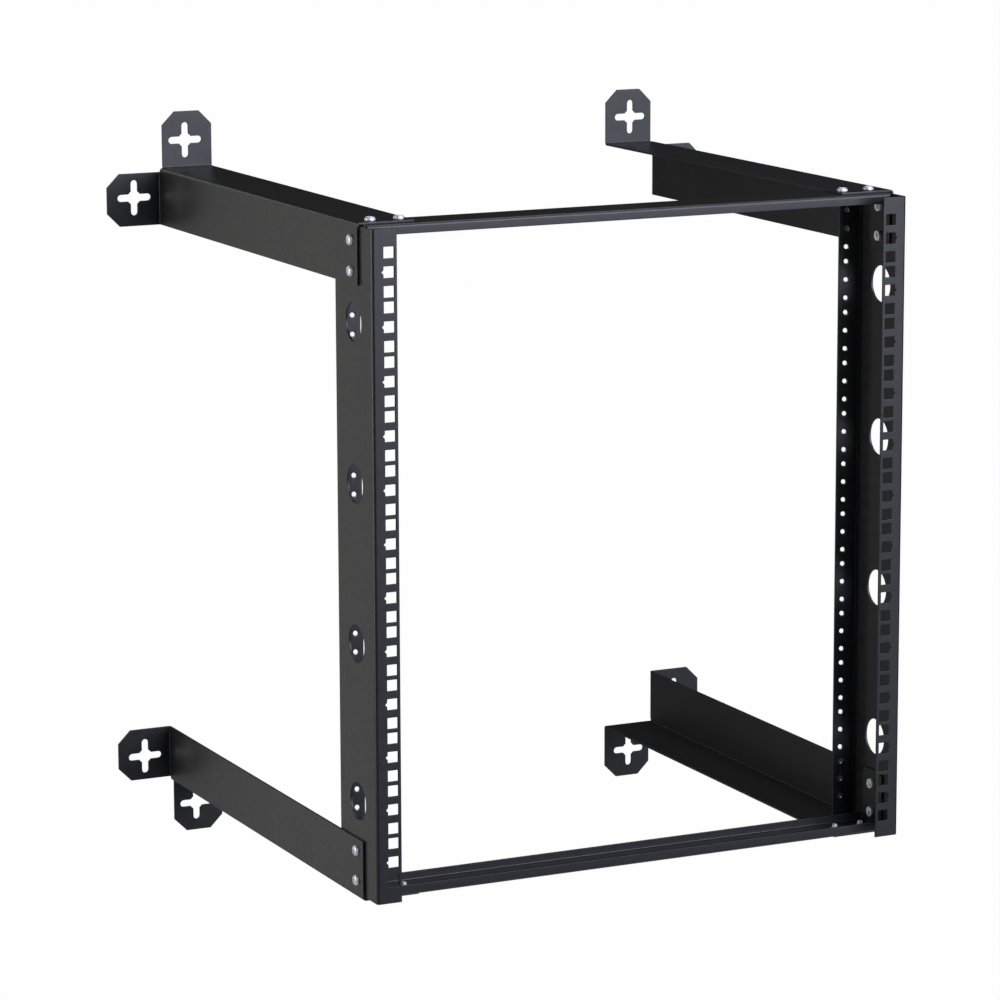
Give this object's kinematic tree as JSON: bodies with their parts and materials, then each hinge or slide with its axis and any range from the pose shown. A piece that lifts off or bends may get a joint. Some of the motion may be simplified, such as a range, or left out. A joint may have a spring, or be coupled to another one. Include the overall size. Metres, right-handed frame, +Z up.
{
  "type": "wall mount rack",
  "caption": "Open-frame wall rack: perforated uprights joined by shallow cross rails and held off the wall by folded arms with slotted wall tabs.",
  "frame": {"origin": "on the wall plane, at the middle of the cross slot in the top left arm's upright tab", "axes": "+X to the right seen from the front, +Y from the rack into the wall, +Z up"},
  "size_m": [0.5989, 0.468, 0.6644],
  "materials": {
    "rack_steel": "satin black powder coat with a fine texture",
    "zinc_hardware": "bright zinc plated"
  },
  "bodies": {
    "root": {"left_upright": "rack_steel", "right_upright": "rack_steel", "top_rail": "rack_steel", "bottom_rail": "rack_steel", "top_left_arm": "rack_steel", "top_right_arm": "rack_steel", "bottom_left_arm": "rack_steel", "bottom_right_arm": "rack_steel", "top_left_web_screws": "zinc_hardware", "top_left_web_nuts": "zinc_hardware", "top_left_rail_screws": "zinc_hardware", "top_left_rail_nuts": "zinc_hardware", "top_right_web_screws": "zinc_hardware", "top_right_web_nuts": "zinc_hardware", "top_right_rail_screws": "zinc_hardware", "top_right_rail_nuts": "zinc_hardware", "bottom_left_web_screws": "zinc_hardware", "bottom_left_web_nuts": "zinc_hardware", "bottom_left_rail_screws": "zinc_hardware", "bottom_left_rail_nuts": "zinc_hardware", "bottom_right_web_screws": "zinc_hardware", "bottom_right_web_nuts": "zinc_hardware", "bottom_right_rail_screws": "zinc_hardware", "bottom_right_rail_nuts": "zinc_hardware"}
  },
  "joints": []
}
